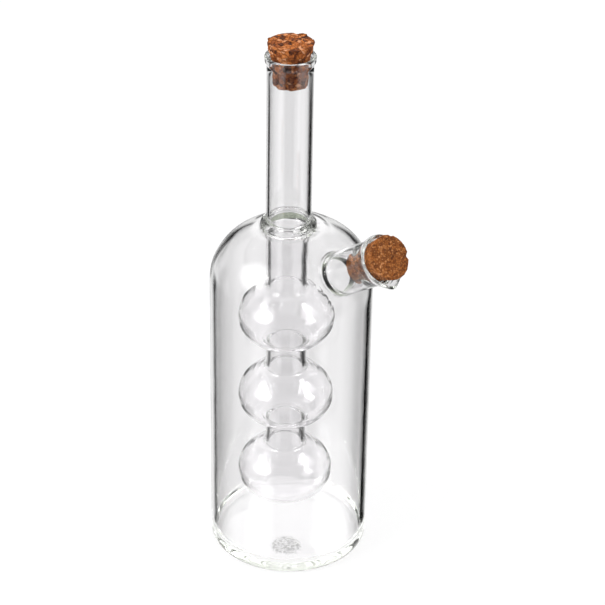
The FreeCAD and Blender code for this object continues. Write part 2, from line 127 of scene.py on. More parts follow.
# Glass vessel, in mm: one fused piece, drawn as three cages that are joined and smoothed.
# Levels and angles say where a cage has a ring; they don't change the size.
drum = {
    "radius": 37.46, "wall": 2.4, "shoulder": 141.3, "rise": 29.1, "crownWall": 2.2, "baseWall": 3.6,
    "heel": 3.0, "corner": 5.5, "lift": 0.04,
    "hollow": ((2.0, 1.3), (9.0, 1.25), (18.0, 0.9), (26.0, 0.36), (31.0, 0.05)),   # under the base
    "outerLevels": (6.5, 16.0, 40.0, 75.0, 108.0, 130.0, 138.5),
    "outerAngles": (8, 20, 32, 44, 56, 62, 66.5),
    "innerLevels": (138.0, 130.0, 108.0, 75.0, 40.0, 20.0, 12.5),
    "innerAngles": (68, 62, 56, 44, 32, 20, 8),
    "floorRadii": (25.0, 18.0, 10.0, 2.0),
}
weldRing = {"out": 2.4, "half": 3.3, "level": 169.2, "edge": 0.12, "above": 0.55, "arc": (-4, 65)}
neck = {
    "radius": 10.35, "wall": 1.5, "rim": 252.0, "lipOut": 1.05, "mouth": 9.51, "seat": 245.2,
    "shift": -1.7, "lipArc": (20, 180),
    "levels": (174.5, 180.0, 196.0, 220.0, 238.0, 245.5),
    "boreLevels": (241.0, 230.0, 208.0, 188.0, 178.0, 174.0),
    "foot": 172.0, "footStep": 0.15,
    "bead": ((-1.0, 4.5), (-0.6, 3.6), (-0.12, 2.7), (0.0, 1.8)),     # from the lip's edge, below the rim
    "throat": ((0.1, 2.2), (0.35, 4.4)),                              # inside the mouth, below the rim
}
flask = {
    "tube": 9.5, "wall": 1.85, "bubble": 22.3, "half": 15.7, "fullness": 0.83, "thin": 0.9,
    "blend": 3.0, "levels": (122.0, 79.8, 37.6), "shift": -2.1,
    "boreTop": (0.1, 166.4), "boreLevels": (163.5, 153.0, 143.5),
    "tubeLevels": (162.5, 154.0, 143.5),
    "root": ((0.3, 165.4), (0.95, 166.5)),                            # widens into the dome
}
bubbleCage = {"waist": (0, 0.55, 1), "arc": (0.3, 0.66), "side": (0, 0.5), "tip": (20, 13, 7, 3)}
spout = {
    "root": 134.6, "turn": -46.6, "slope": 34.9, "radius": 10.2, "bore": 8.6, "reach": 70.6,
    "lip": 11.4, "mouth": 9.68, "seat": 61.3,
    "foot": ((0.35, 37.9), (0.08, 38.7)), "levels": (40.0, 44.0, 50.0, 57.0, 62.5),
    "bead": ((0.05, 4.4), (0.45, 3.5), (1.0, 2.6)), "throat": ((0.15, 2.2), (0.5, 5.0)),
    "ledge": ((0.2, 0.8), (0.0, -2.0)), "boreLevels": (54.0, 47.0, 43.5),
    "boreFoot": ((0.2, 40.8), (0.75, 38.6), (1.1, 36.9)), "outerHole": 11.2, "innerHole": 7.9,
}
nose = {"out": 3.24, "beside": 0.528, "deep": 5.5, "length": 4.5}     # as far as the cage is pulled
# The faces taken out for the spout: how many to each side, from and to which angle up the dome,
# and farther out than this, in mm; start is the angle, in radians, where counting the rim begins
doorway = {"halfWidth": 2.05, "low": 7, "high": 57, "beyond": 18.0, "start": 0.15}
cageSetup = {"corners": 32, "spoutCorners": 16, "arcSteps": 4, "smooth": 2}


def domeRings(radius, rise, angles):
    return [(radius * cos(radians(a)), drum["shoulder"] + rise * sin(radians(a)), 0.0)
            for a in angles]


def bubbleRings(level, tube, radius, half, side, blend, last):
    # One bubble from the waist above it to the waist below: blend, flat arc, round side,
    # and the same again. The last bubble closes at its bottom.
    inward = radius - side
    flat = (inward ** 2 + half ** 2 - side ** 2) / (2 * (half - side))
    sink = flat - half
    turn = atan2(sink, inward)
    reach = tube + blend
    lean = atan2(sqrt((flat + blend) ** 2 - reach ** 2), reach)
    rise = (flat + blend) * sin(lean) - sink
    upper = []
    for share in bubbleCage["waist"]:
        angle = pi + lean * share
        upper.append((reach + blend * cos(angle), rise + blend * sin(angle)))
    for share in bubbleCage["arc"]:
        angle = lean + (turn - lean) * share
        upper.append((flat * cos(angle), flat * sin(angle) - sink))
    for share in bubbleCage["side"]:
        angle = turn * (1 - share)
        upper.append((inward + side * cos(angle), side * sin(angle)))
    lower = [(r, -z) for r, z in reversed(upper)]
    if last:
        lower = [(r, z) for r, z in lower if r > reach + blend]
        for degrees in bubbleCage["tip"]:
            angle = radians(degrees)
            lower.append((flat * sin(angle), sink - flat * cos(angle)))
    return [(r, level + z, flask["shift"]) for r, z in upper + [(radius, 0.0)] + lower]


def flaskRings(thin, wall):
    rings = []
    for level in flask["levels"]:
        rings += bubbleRings(level, flask["tube"] - wall, flask["bubble"] - thin, flask["half"] - thin,
                             flask["fullness"] * flask["half"] - thin, flask["blend"] + thin,
                             level == flask["levels"][-1])
    return rings


def drumRings():
    # From the middle of the base, round the heel and up the wall to the weld ring
    heel, radius = drum["heel"], drum["radius"]
    rings = [(r, z, 0.0) for r, z in drum["hollow"]]
    rings += arcRings((radius - heel, heel + drum["lift"]), heel, -90, 0, cageSetup["arcSteps"])
    rings += [(radius, z, 0.0) for z in drum["outerLevels"]]
    return rings + domeRings(radius, drum["rise"], drum["outerAngles"])


def neckRings():
    # Over the weld ring, up the neck and over its lip, a bead rolled outwards
    radius, shift, rim = neck["radius"], neck["shift"], neck["rim"]
    out, half, level = weldRing["out"], weldRing["half"], weldRing["level"]
    bulge = (out ** 2 + half ** 2) / (2 * out)
    steps = cageSetup["arcSteps"]
    start, end = weldRing["arc"]
    rings = arcRings((radius + out - bulge, level), bulge, start, end, steps, shift)
    rings += [(radius + weldRing["edge"], level + half + weldRing["above"], shift)]
    rings += [(radius, z, shift) for z in neck["levels"]]
    lip = radius + neck["lipOut"]
    rings += [(lip + step, rim - under, shift) for step, under in neck["bead"]]
    half = (lip - neck["mouth"]) / 2
    start, end = neck["lipArc"]
    return rings + arcRings((neck["mouth"] + half, rim - half), half, start, end, steps, shift)


def boreRings():
    # From the neck's mouth down its bore, past the weld ring and down the flask's tube
    shift, hung = neck["shift"], flask["shift"]
    bore = neck["radius"] - neck["wall"]
    tube = flask["tube"] - flask["wall"]
    rings = [(neck["mouth"] - step, neck["rim"] - under, shift) for step, under in neck["throat"]]
    rings += [(bore, z, shift) for z in (neck["seat"],) + neck["boreLevels"]]
    rings += [(bore - neck["footStep"], neck["foot"], shift)]
    rings += [((bore + tube) / 2, weldRing["level"], (shift + hung) / 2)]
    step, top = flask["boreTop"]
    rings += [(tube + step, top, hung)]
    return rings + [(tube, z, hung) for z in flask["boreLevels"]]


def outerOutline():
    # From the middle of the base up the outside, over the neck's rim and down into the flask
    return drumRings() + neckRings() + boreRings() + flaskRings(flask["thin"], flask["wall"])


def innerOutline():
    # From the bottom of the flask up its outside, under the dome and down to the floor
    rings = [(flask["tube"], z, flask["shift"]) for z in flask["tubeLevels"]] + flaskRings(0.0, 0.0)
    rings.reverse()
    rings += [(flask["tube"] + step, z, flask["shift"]) for step, z in flask["root"]]
    radius = drum["radius"] - drum["wall"]
    rings += domeRings(radius, drum["rise"] - drum["crownWall"], drum["innerAngles"])
    rings += [(radius, z, 0.0) for z in drum["innerLevels"]]
    corner, floorLevel = drum["corner"], drum["baseWall"]
    rings += arcRings((radius - corner, floorLevel + corner), corner, 0, -90, cageSetup["arcSteps"])
    return rings + [(r, floorLevel, 0.0) for r in drum["floorRadii"]]


def spoutOutline():
    # The spout stood upright: up its outside, over the lip and down its bore
    radius, bore, reach, mouth = spout["radius"], spout["bore"], spout["reach"], spout["mouth"]
    half = (spout["lip"] - mouth) / 2
    rings = [(radius + step, z, 0.0) for step, z in spout["foot"]]
    rings += [(radius, z, 0.0) for z in spout["levels"]]
    rings += [(radius + step, reach - under, 0.0) for step, under in spout["bead"]]
    rings += arcRings((mouth + half, reach - half), half, 0, 180, cageSetup["arcSteps"])
    rings += [(mouth - step, reach - under, 0.0) for step, under in spout["throat"]]
    rings += [(bore + step, spout["seat"] + above, 0.0) for step, above in spout["ledge"]]
    rings += [(bore, z, 0.0) for z in spout["boreLevels"]]
    return rings + [(bore - step, z, 0.0) for step, z in spout["boreFoot"]]


def spoutPlace():
    # The spout's own frame: Z along its axis, X down and out
    turn = Matrix.Rotation(radians(spout["turn"]), 4, "Z")
    lean = Matrix.Rotation(radians(90 - spout["slope"]), 4, "Y")
    return Matrix.Translation((0, 0, spout["root"] * mm)) @ turn @ lean


def drawNose(tube):
    # Pinches the low side of the lip out into a pouring nose
    corner = tau / cageSetup["spoutCorners"]
    start = spout["reach"] - nose["deep"]
    for vertex in tube.data.vertices:
        angle = atan2(vertex.co.y, vertex.co.x) / corner
        share = min(max((vertex.co.z / mm - start) / nose["length"], 0), 1)
        if abs(angle) < 0.5:
            vertex.co.x += nose["out"] * share * mm
        elif abs(angle) < 1.5:
            vertex.co.x += nose["beside"] * share * mm


def onDome(angle, away, radius, rise):
    # Where a line along the spout, at this angle and distance from its axis, meets a dome
    place = spoutPlace()
    start = place @ Vector((away * cos(angle), away * sin(angle), 0))
    way = place.to_3x3() @ Vector((0, 0, 1))
    squash = Vector((1 / radius, 1 / radius, 1 / rise))
    a = (start - Vector((0, 0, drum["shoulder"] * mm))) * squash
    b = way * squash
    reach = (sqrt(a.dot(b) ** 2 - b.dot(b) * (a.dot(a) - 1)) - a.dot(b)) / b.dot(b)
    return start + way * reach


def openDome(shell, radius, rise, away):
    # Takes a block of faces out of the dome where the spout leaves it, and rounds the hole
    turn = radians(spout["turn"])
    halfWidth = doorway["halfWidth"] * tau / cageSetup["corners"]
    low = drum["shoulder"] * mm + rise * sin(radians(doorway["low"]))
    high = drum["shoulder"] * mm + rise * sin(radians(doorway["high"]))
    openMesh(shell, "FACE")                                # nothing is picked to begin with
    closeMesh()
    for face in shell.data.polygons:
        middle = face.center
        side = abs((atan2(middle.y, middle.x) - turn + pi) % tau - pi)
        onDrum = hypot(middle.x, middle.y) > doorway["beyond"] * mm       # not on neck or flask
        face.select = onDrum and side < halfWidth and low < middle.z < high
    bpy.ops.object.mode_set(mode="EDIT")
    bpy.ops.mesh.delete(type="FACE")
    bpy.ops.mesh.select_mode(type="VERT")
    bpy.ops.mesh.select_non_manifold()
    closeMesh()
    back = spoutPlace().inverted()
    rim = [vertex for vertex in shell.data.vertices if vertex.select]
    local = {vertex.index: back @ vertex.co for vertex in rim}
    rim.sort(key=lambda v: (atan2(local[v.index].y, local[v.index].x) + doorway["start"]) % tau)
    for i, vertex in enumerate(rim):
        vertex.co = onDome(tau * i / len(rim), away, radius, rise)


def bridgeEnds(vessel, inside):
    # Joins the hole in one dome to its end of the spout's tube
    openMesh(vessel)
    bpy.ops.mesh.select_non_manifold()
    closeMesh()
    back = spoutPlace().inverted()
    split = (spout["outerHole"] + spout["innerHole"]) / 2 * mm
    rim = set()
    for vertex in vessel.data.vertices:
        if vertex.select:
            local = back @ vertex.co
            if (hypot(local.x, local.y) < split) == inside:
                rim.add(vertex.index)
    openMesh(vessel, "EDGE")                               # only the two rims are picked
    closeMesh()
    for edge in vessel.data.edges:
        edge.select = edge.vertices[0] in rim and edge.vertices[1] in rim
    bpy.ops.object.mode_set(mode="EDIT")
    bpy.ops.mesh.bridge_edge_loops()
    closeMesh()


def makeVessel():
    turn = radians(spout["turn"])
    outer = growRings("glassVessel", outerOutline(), cageSetup["corners"], turn, True)
    inner = growRings("innerShell", innerOutline(), cageSetup["corners"], turn, True)
    tube = growRings("spoutTube", spoutOutline(), cageSetup["spoutCorners"], 0, False)
    drawNose(tube)
    tube.data.transform(spoutPlace())
    openDome(outer, drum["radius"] * mm, drum["rise"] * mm, spout["outerHole"] * mm)
    openDome(inner, (drum["radius"] - drum["wall"]) * mm, (drum["rise"] - drum["crownWall"]) * mm,
             spout["innerHole"] * mm)
    deselectAll()
    for piece in (outer, inner, tube):
        piece.select_set(True)
    bpy.context.view_layer.objects.active = outer
    bpy.ops.object.join()
    vessel = bpy.context.object
    bridgeEnds(vessel, False)
    bridgeEnds(vessel, True)
    turnOutwards(vessel)
    smoothCage(vessel, cageSetup["smooth"])
    bpy.ops.object.shade_smooth()
    print("vessel modelled:", len(vessel.data.polygons), "faces")
    return vessel


# Corks, in mm: each is turned as a cage, smoothed, then roughened.
# A chip is broken out of the edge: its angle, height, width and depth.
neckCork = {
    "base": 237.9, "end": 258.4, "low": 8.1, "top": 9.95, "rim": 252.3, "swell": 0.65, "edge": 0.7,
    "granule": 2.1, "relief": 0.42, "lump": 5.0, "sag": 0.45,
    "chips": ((70, 258.2, 2.2, 1.3), (-60, 258.0, 1.6, 0.8), (200, 257.9, 1.8, 0.9),
              (-100, 238.2, 2.0, 0.9), (-150, 238.4, 2.4, 0.8)),
}
spoutCork = {
    "base": 53.8, "end": 76.3, "low": 7.7, "top": 10.1, "rim": 71.0, "swell": 0.35, "edge": 0.8,
    "granule": 1.2, "relief": 0.3, "lump": 5.0, "sag": 0.4,
    "chips": ((75, 76.0, 1.7, 1.5), (150, 76.0, 1.4, 0.8), (-40, 75.8, 1.5, 0.7)),
}
corkCage = {"corners": 32, "rows": 10, "smooth": 3, "edgeSteps": 2, "swellLength": 1.5,
            "ends": (0.15, 0.35, 0.55, 0.75)}
pressSetup = {"harder": 1.6, "depth": 2}                   # contrast of granules, detail of lumps


def corkRings(setup):
    # From the middle of the inner end, round its edge, up the side and over the outer end
    low, top, edge = setup["low"], setup["top"], setup["edge"]
    base, end = setup["base"], setup["end"]
    steps = corkCage["edgeSteps"]
    rings = [(low * share, base, 0.0) for share in corkCage["ends"]]
    rings += arcRings((low - edge, base + edge), edge, -90, 0, steps)
    for i in range(1, corkCage["rows"]):
        share = i / corkCage["rows"]
        height = base + (end - base) * share
        proud = setup["swell"] * min(max((height - setup["rim"]) / corkCage["swellLength"], 0), 1)
        rings.append((low + (top - low) * share + proud, height, 0.0))
    top += setup["swell"]
    rings += arcRings((top - edge, end - edge), edge, 0, 90, steps)
    rings += [(top * share, end, 0.0) for share in reversed(corkCage["ends"])]
    return rings


def roughen(piece, name, kind, grain, depth):
    # Presses a pattern into the surface; where it passes 1, a grain stands out a little
    texture = bpy.data.textures.new(name, kind)
    texture.noise_scale = grain * mm
    if kind == "VORONOI":
        texture.weight_1, texture.weight_2 = -1, 1
        texture.noise_intensity = pressSetup["harder"]
    else:
        texture.noise_depth = pressSetup["depth"]
    press = piece.modifiers.new(name, "DISPLACE")
    press.texture = texture
    press.texture_coords = "LOCAL"
    press.mid_level = 1
    press.strength = depth * mm
    bpy.ops.object.modifier_apply(modifier=name)


def chip(piece, chips):
    for angle, height, width, deep in chips:
        turn = radians(angle)
        middle = Vector((cos(turn), sin(turn), 0))
        for vertex in piece.data.vertices:
            flat = Vector((vertex.co.x, vertex.co.y, 0))
            place = Vector((flat.length * cos(turn), flat.length * sin(turn), height * mm))
            away = (vertex.co - place).length / (width * mm)
            if away < 1 and flat.dot(middle) > 0:
                vertex.co -= flat.normalized() * deep * mm * (1 - away)


def makeCork(name, setup, place):
    cork = growRings(name, corkRings(setup), corkCage["corners"], 0, True)
    turnOutwards(cork)
    smoothCage(cork, corkCage["smooth"])
    roughen(cork, name + "Lumps", "CLOUDS", setup["lump"], setup["sag"])
    roughen(cork, name + "Granules", "VORONOI", setup["granule"], setup["relief"])
    chip(cork, setup["chips"])
    cork.data.transform(place)
    bpy.ops.object.shade_smooth()
    print(name, "modelled:", len(cork.data.polygons), "faces")
    return cork


# Materials

def newMaterial(name):
    material = bpy.data.materials.new(name)
    material.use_nodes = True
    material.node_tree.nodes.clear()
    return material, material.node_tree.nodes, material.node_tree.links


def newGroup(name, inputs, outputs):
    # A shader node group with named values in and named values out
    group = bpy.data.node_groups.new(name, "ShaderNodeTree")
    for label, kind, value in inputs:
        socket = group.interface.new_socket(label, in_out="INPUT", socket_type=kind)
        if value is not None:
            socket.default_value = value
    for label, kind in outputs:
        group.interface.new_socket(label, in_out="OUTPUT", socket_type=kind)
    nodes = group.nodes
    return group, nodes, group.links, nodes.new("NodeGroupInput"), nodes.new("NodeGroupOutput")


def addNode(nodes, kind, values=()):
    # values is a dictionary of input names and what they are set to
    node = nodes.new(kind)
    for label in values:
        node.inputs[label].default_value = values[label]
    return node


def addMath(nodes, links, operation, first, second):
    node = nodes.new("ShaderNodeMath")
    node.operation = operation
    for socket, given in zip(node.inputs, (first, second)):
        if isinstance(given, (int, float)):
            socket.default_value = given
        elif given is not None:
            links.new(given, socket)
    return node.outputs[0]


def setStops(ramp, stops):
    elements = ramp.color_ramp.elements
    for position, color in stops[1:-1]:
        elements.new(position)
    for element, (position, color) in zip(elements, stops):
        element.position = position
        element.color = color


def dress(piece, material):
    piece.data.materials.clear()
    piece.data.materials.append(material)


glassLook = {
    "color": (0.995, 0.99, 0.997, 1), "ior": 1.47, "tint": (0.80, 0.82, 0.775, 1), "density": 22.0,
    # painted grey: the image of the flask's sealed tip seen through the base, put into the glass colour
    "speck": (0.25, 0.25, 0.25, 1), "paintedTipStart": 0.1, "paintedTipEnd": 0.75,
}
turnedRings = {"Scale": 60, "Distortion": 5, "Detail": 1, "Detail Scale": 0.7}


def makeRipple():
    # Slow waves that blowing leaves in a wall, and level rings that turning leaves
    group, nodes, links, given, out = newGroup(
        "blownRipple", (("Coordinates", "NodeSocketVector", None), ("Length", "NodeSocketFloat", 9.0),
                        ("Rings", "NodeSocketFloat", 0.0)),
        (("Height", "NodeSocketFloat"),))
    noise = addNode(nodes, "ShaderNodeTexNoise", {"Detail": 0})
    links.new(addMath(nodes, links, "DIVIDE", 1 / mm, given.outputs["Length"]), noise.inputs["Scale"])
    links.new(given.outputs["Coordinates"], noise.inputs["Vector"])
    rings = addNode(nodes, "ShaderNodeTexWave", turnedRings)
    rings.bands_direction = "Z"
    links.new(given.outputs["Coordinates"], rings.inputs["Vector"])
    share = addMath(nodes, links, "MULTIPLY", rings.outputs["Fac"], given.outputs["Rings"])
    links.new(addMath(nodes, links, "ADD", noise.outputs[0], share), out.inputs["Height"])
    return group


# Uneven glass: how far the surface waves and how long the waves are, in mm, and how strong
# the rings of turning are beside them
waviness = {
    "blown": {"press": 0.02, "length": 11.0, "rings": 0.0},
    "turned": {"press": 0.055, "length": 9.0, "rings": 1.3},   # the bubbles
    "poured": {"press": 0.13, "length": 7.0, "rings": 0.0},    # the base
    "welded": {"press": 0.20, "length": 2.6, "rings": 0.0},    # the ring and the spout's root
    "groundAndPaintedTip": {"press": 0.45, "length": 1.3, "rings": 0.0},    # a small rough patch under the base, whose waves also set painted grey for the flask's sealed tip seen through it
}
# Where it is, in mm: four numbers say where it begins, is whole, is last whole and ends,
# and two say where it is last whole and ends
zones = {
    "bubblesOut": (10.0, 12.5, 22.3, 23.8), "bubblesHeight": (12.0, 20.0, 138.0, 142.0),
    "ringOut": (10.4, 11.0, 13.5, 15.0), "ringHalf": (2.5, 3.8),
    "rootOut": (9.4, 10.6, 12.0, 13.5), "rootHeight": (34.0, 36.0, 38.5, 40.0),
    "base": (4.0, 7.0), "patch": (1.6, 2.6), "patchOut": (6.4, 7.4),
}
patchPlace = (-0.7, -17.0)


def fade(value, full, none):
    # 1 at full, 0 at none, and a soft change between them
    share = min(max((value - none) / (full - none), 0), 1)
    return share * share * (3 - 2 * share)


def between(value, limits):
    start, whole, last, end = limits
    return fade(value, last, end) * fade(value, whole, start)


def zoneShares(vertex, back):
    # How much a point of the glass belongs to each kind
    x, y, z = vertex.co / mm
    local = back @ vertex.co / mm
    fromNeck = hypot(x - neck["shift"], y)
    fromFlask = hypot(x - flask["shift"], y)
    fromPatch = hypot(x - patchPlace[0], y - patchPlace[1])
    ring = fade(abs(z - weldRing["level"]), *zones["ringHalf"]) * between(fromNeck, zones["ringOut"])
    root = between(hypot(local.x, local.y), zones["rootOut"]) * between(local.z, zones["rootHeight"])
    return {
        "blown": 1.0,
        "turned": between(fromFlask, zones["bubblesOut"]) * between(z, zones["bubblesHeight"]),
        "poured": fade(z, *zones["base"]),
        "welded": max(ring, root),
        "groundAndPaintedTip": fade(z, *zones["patch"]) * fade(fromPatch, *zones["patchOut"]),
    }


def markZones(vessel):
    # Writes on each point how much it belongs to each kind of uneven glass
    back = spoutPlace().inverted()
    shares = [zoneShares(vertex, back) for vertex in vessel.data.vertices]
    for zone in waviness:
        marks = vessel.data.attributes.new(zone, "FLOAT", "POINT")
        marks.data.foreach_set("value", [share[zone] for share in shares])


def addZone(nodes, links, where, ripple, zone):
    # The waves of one kind of glass, and how much of them a point has
    waves = nodes.new("ShaderNodeGroup")
    waves.node_tree = ripple
    waves.inputs["Length"].default_value = waviness[zone]["length"]
    waves.inputs["Rings"].default_value = waviness[zone]["rings"]
    links.new(where.outputs["Object"], waves.inputs["Coordinates"])
    marks = nodes.new("ShaderNodeAttribute")
    marks.attribute_name = zone
    return waves.outputs["Height"], marks.outputs["Fac"]


def addBump(nodes, links, height, strength, distance, shader):
    bump = addNode(nodes, "ShaderNodeBump", {"Strength": strength, "Distance": distance})
    links.new(height, bump.inputs["Height"])
    links.new(bump.outputs[0], shader.inputs["Normal"])


def finishVessel(vessel):
    markZones(vessel)
    ripple = makeRipple()
    material, nodes, links = newMaterial("clearGlass")
    out = nodes.new("ShaderNodeOutputMaterial")
    shader = nodes.new("ShaderNodeBsdfPrincipled")
    shader.inputs["Roughness"].default_value = 0
    shader.inputs["IOR"].default_value = glassLook["ior"]
    shader.inputs["Transmission Weight"].default_value = 1
    where = nodes.new("ShaderNodeTexCoord")
    total = 0
    for zone, wave in waviness.items():
        height, share = addZone(nodes, links, where, ripple, zone)
        part = addMath(nodes, links, "MULTIPLY", height, wave["press"])
        total = addMath(nodes, links, "ADD", total, addMath(nodes, links, "MULTIPLY", part, share))
        # The rough patch's waves also drive painted grey in the glass colour, an image of the flask's
        # sealed tip
        if zone == "groundAndPaintedTip":
            paintedTipImage = addMath(nodes, links, "MULTIPLY", height, share)
    addBump(nodes, links, total, 1, mm, shader)
    paintedTipTone = nodes.new("ShaderNodeValToRGB")                 # painted grey: the rough patch under the base stands in for the flask's sealed tip seen through the glass
    setStops(paintedTipTone, ((glassLook["paintedTipStart"], glassLook["color"]),
                    (glassLook["paintedTipEnd"], glassLook["speck"])))
    links.new(paintedTipImage, paintedTipTone.inputs[0])
    links.new(paintedTipTone.outputs[0], shader.inputs["Base Color"])
    links.new(shader.outputs[0], out.inputs[0])
    tint = nodes.new("ShaderNodeVolumeAbsorption")
    tint.inputs["Color"].default_value = glassLook["tint"]
    tint.inputs["Density"].default_value = glassLook["density"]
    links.new(tint.outputs[0], out.inputs["Volume"])
    dress(vessel, material)
    print("glass finished")


corkLook = {
    "coarse": {"cell": 2.0, "bend": 0.9,
               "colors": ((0.0, (0.022, 0.006, 0.002, 1)), (0.16, (0.09, 0.022, 0.005, 1)),
                          (0.36, (0.21, 0.055, 0.012, 1)), (0.62, (0.31, 0.09, 0.018, 1)),
                          (0.87, (0.36, 0.12, 0.032, 1)), (1.0, (0.48, 0.23, 0.12, 1)))},
    "fine": {"cell": 1.0, "bend": 0.8,
             "colors": ((0.0, (0.09, 0.028, 0.008, 1)), (0.22, (0.19, 0.06, 0.015, 1)),
                        (0.5, (0.27, 0.085, 0.019, 1)), (0.8, (0.34, 0.125, 0.034, 1)),
                        (1.0, (0.45, 0.20, 0.08, 1)))},
}
corkSurface = {"shine": 0.2, "gapColor": (0.05, 0.012, 0.003, 1), "gapShare": 0.7,
               "roughness": {"To Min": 0.7, "To Max": 0.95}, "bump": 0.8, "deep": 0.2}
granuleLook = {
    "ragged": {"Detail": 3}, "middle": (0.5, 0.5, 0.5), "fine": {"Detail": 4, "Roughness": 0.7},
    "finer": 2.3, "speck": {"From Min": 0.3, "From Max": 0.7, "To Min": -0.3, "To Max": 0.3},
    "gap": {"From Min": 0.0, "From Max": 0.13, "To Min": 1, "To Max": 0},
}


def addRagged(nodes, links, given, pace):
    # Coordinates pushed about by noise, so that the cells get ragged edges
    noise = addNode(nodes, "ShaderNodeTexNoise", granuleLook["ragged"])
    links.new(given.outputs["Coordinates"], noise.inputs["Vector"])
    links.new(pace, noise.inputs["Scale"])
    centre = nodes.new("ShaderNodeVectorMath")
    centre.operation = "SUBTRACT"
    centre.inputs[1].default_value = granuleLook["middle"]
    links.new(noise.outputs["Color"], centre.inputs[0])
    reach = addMath(nodes, links, "DIVIDE", given.outputs["Raggedness"], pace)
    bend = nodes.new("ShaderNodeVectorMath")
    bend.operation = "SCALE"
    links.new(centre.outputs[0], bend.inputs[0])
    links.new(reach, bend.inputs["Scale"])
    place = nodes.new("ShaderNodeVectorMath")
    place.operation = "ADD"
    links.new(given.outputs["Coordinates"], place.inputs[0])
    links.new(bend.outputs[0], place.inputs[1])
    return place.outputs[0]


def addSpecks(nodes, links, given, pace):
    # Fine specks, lighter and darker than the granule they are in
    noise = addNode(nodes, "ShaderNodeTexNoise", granuleLook["fine"])
    finePace = addMath(nodes, links, "MULTIPLY", pace, granuleLook["finer"])
    links.new(finePace, noise.inputs["Scale"])
    links.new(given.outputs["Coordinates"], noise.inputs["Vector"])
    speck = addNode(nodes, "ShaderNodeMapRange", granuleLook["speck"])
    links.new(noise.outputs[0], speck.inputs["Value"])
    return speck.outputs[0]


def makeGranules():
    # Pressed cork: ragged granules, each with a shade of its own, and dark gaps between them
    group, nodes, links, given, out = newGroup(
        "corkGranules",
        (("Coordinates", "NodeSocketVector", None), ("Size", "NodeSocketFloat", 1.5),
         ("Raggedness", "NodeSocketFloat", 0.8)),
        (("Shade", "NodeSocketFloat"), ("Gap", "NodeSocketFloat"), ("Height", "NodeSocketFloat")))
    pace = addMath(nodes, links, "DIVIDE", 1 / mm, given.outputs["Size"])
    place = addRagged(nodes, links, given, pace)
    cells = nodes.new("ShaderNodeTexVoronoi")
    edges = nodes.new("ShaderNodeTexVoronoi")
    edges.feature = "DISTANCE_TO_EDGE"
    for node in (cells, edges):
        links.new(place, node.inputs["Vector"])
        links.new(pace, node.inputs["Scale"])
    pick = nodes.new("ShaderNodeSeparateColor")
    links.new(cells.outputs["Color"], pick.inputs[0])
    shade = addMath(nodes, links, "ADD", pick.outputs[0], addSpecks(nodes, links, given, pace))
    shade.node.use_clamp = True
    gap = addNode(nodes, "ShaderNodeMapRange", granuleLook["gap"])
    gap.interpolation_type = "SMOOTHSTEP"
    links.new(edges.outputs["Distance"], gap.inputs["Value"])
    links.new(shade, out.inputs["Shade"])
    links.new(gap.outputs[0], out.inputs["Gap"])
    links.new(addMath(nodes, links, "SUBTRACT", shade, gap.outputs[0]), out.inputs["Height"])
    return group


def finishCork(piece, granules, name, look):
    material, nodes, links = newMaterial(name)
    out = nodes.new("ShaderNodeOutputMaterial")
    shader = nodes.new("ShaderNodeBsdfPrincipled")
    shader.inputs["Specular IOR Level"].default_value = corkSurface["shine"]
    where = nodes.new("ShaderNodeTexCoord")
    cork = nodes.new("ShaderNodeGroup")
    cork.node_tree = granules
    cork.inputs["Size"].default_value = look["cell"]
    cork.inputs["Raggedness"].default_value = look["bend"]
    links.new(where.outputs["Object"], cork.inputs["Coordinates"])
    ramp = nodes.new("ShaderNodeValToRGB")
    setStops(ramp, look["colors"])
    links.new(cork.outputs["Shade"], ramp.inputs[0])
    mix = nodes.new("ShaderNodeMix")
    mix.data_type = "RGBA"                                 # its inputs 6 and 7 are the two colours
    mix.inputs[7].default_value = corkSurface["gapColor"]
    dark = addMath(nodes, links, "MULTIPLY", cork.outputs["Gap"], corkSurface["gapShare"])
    links.new(dark, mix.inputs[0])
    links.new(ramp.outputs[0], mix.inputs[6])
    links.new(mix.outputs[2], shader.inputs["Base Color"])
    rough = addNode(nodes, "ShaderNodeMapRange", corkSurface["roughness"])
    links.new(cork.outputs["Gap"], rough.inputs["Value"])
    links.new(rough.outputs[0], shader.inputs["Roughness"])
    addBump(nodes, links, cork.outputs["Height"], corkSurface["bump"], corkSurface["deep"] * mm, shader)
    links.new(shader.outputs[0], out.inputs[0])
    dress(piece, material)
    print(name, "finished")


# Stage: a white floor, a soft room and lamps
cameraSetup = {"place": (0.0052, -0.8640, 0.6393), "lens": 129.8, "sensor": 36.0, "down": 30.62,
               "roll": 0.955}


def addCamera(setup):
    data = bpy.data.cameras.new("camera")
    data.lens = setup["lens"]
    data.sensor_width = setup["sensor"]
    camera = bpy.data.objects.new("camera", data)
    scene.collection.objects.link(camera)
    camera.location = setup["place"]
    look = Euler((radians(90 - setup["down"]), 0, 0)).to_matrix()
    camera.rotation_euler = (look @ Matrix.Rotation(radians(setup["roll"]), 3, "Z")).to_euler()
    scene.camera = camera


floorSetup = {"size": 6.0, "place": (0, 0, -0.0002), "shadow": 0.12, "paper": (0.85, 0.85, 0.85, 1)}


